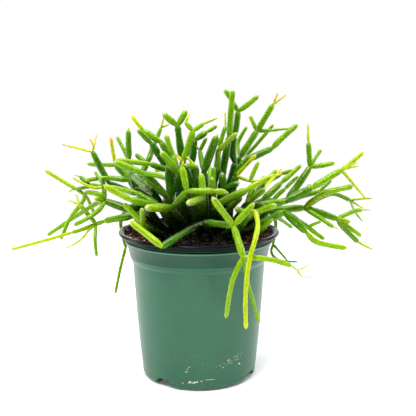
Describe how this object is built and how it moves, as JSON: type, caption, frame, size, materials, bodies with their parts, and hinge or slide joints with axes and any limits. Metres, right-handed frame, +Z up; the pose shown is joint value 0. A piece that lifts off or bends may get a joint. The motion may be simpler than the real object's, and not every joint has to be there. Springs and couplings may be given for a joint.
{
  "type": "mistletoe cactus in a pot",
  "caption": "Bushy mistletoe cactus with slender jointed stems that spread and droop over the lip of a round tapered nursery pot.",
  "frame": {"origin": "on the surface that the pot stands on, under the middle of the whole part's bounding box", "axes": "+Z up; +X to the right and -Y toward the viewer of the picture; the widest spread of the stems is along X"},
  "size_m": [0.252, 0.1482, 0.193],
  "materials": {
    "pot_plastic": "moulded plastic, low sheen, black at the lip",
    "soil_mix": "loose peat and bark",
    "stem_green_0": "waxy living stem",
    "stem_green_1": "waxy living stem",
    "stem_green_2": "waxy living stem",
    "stem_green_3": "waxy living stem"
  },
  "bodies": {
    "root": {"behind_left": "stem_green_1", "behind_right": "stem_green_1", "centre_cross": "stem_green_1", "centre_fill": "stem_green_0", "centre_left_dark": "stem_green_0", "crown_back": "stem_green_1", "crown_dark": "stem_green_0", "crown_fork": "stem_green_1", "crown_front": "stem_green_1", "crown_left": "stem_green_2", "crown_spire": "stem_green_3", "front_low_left": "stem_green_1", "front_middle": "stem_green_2", "green_fall": "stem_green_2", "hidden_back_0": "stem_green_1", "hidden_back_1": "stem_green_1", "hidden_back_2": "stem_green_1", "hidden_back_3": "stem_green_1", "hidden_back_4": "stem_green_1", "left_back": "stem_green_1", "left_cross": "stem_green_1", "left_dark": "stem_green_0", "left_fork": "stem_green_2", "left_high": "stem_green_2", "left_low_dark": "stem_green_0", "left_main": "stem_green_2", "left_reach": "stem_green_1", "low_left": "stem_green_2", "middle_dark": "stem_green_2", "middle_hook": "stem_green_2", "middle_pair": "stem_green_1", "middle_slim": "stem_green_2", "middle_stub": "stem_green_2", "olive_spray": "stem_green_3", "over_rim": "stem_green_1", "pot": "pot_plastic", "right_arch": "stem_green_2", "right_crown": "stem_green_2", "right_droop": "stem_green_1", "right_fill": "stem_green_1", "right_flag": "stem_green_1", "right_main": "stem_green_2", "right_pale": "stem_green_1", "right_reach": "stem_green_2", "right_short": "stem_green_1", "right_slim": "stem_green_1", "right_tuft": "stem_green_1", "rim_left": "stem_green_2", "rim_right": "stem_green_2", "soil": "soil_mix", "tall_fork": "stem_green_1", "tall_spire": "stem_green_0", "yellow_fall": "stem_green_2"}
  },
  "joints": []
}
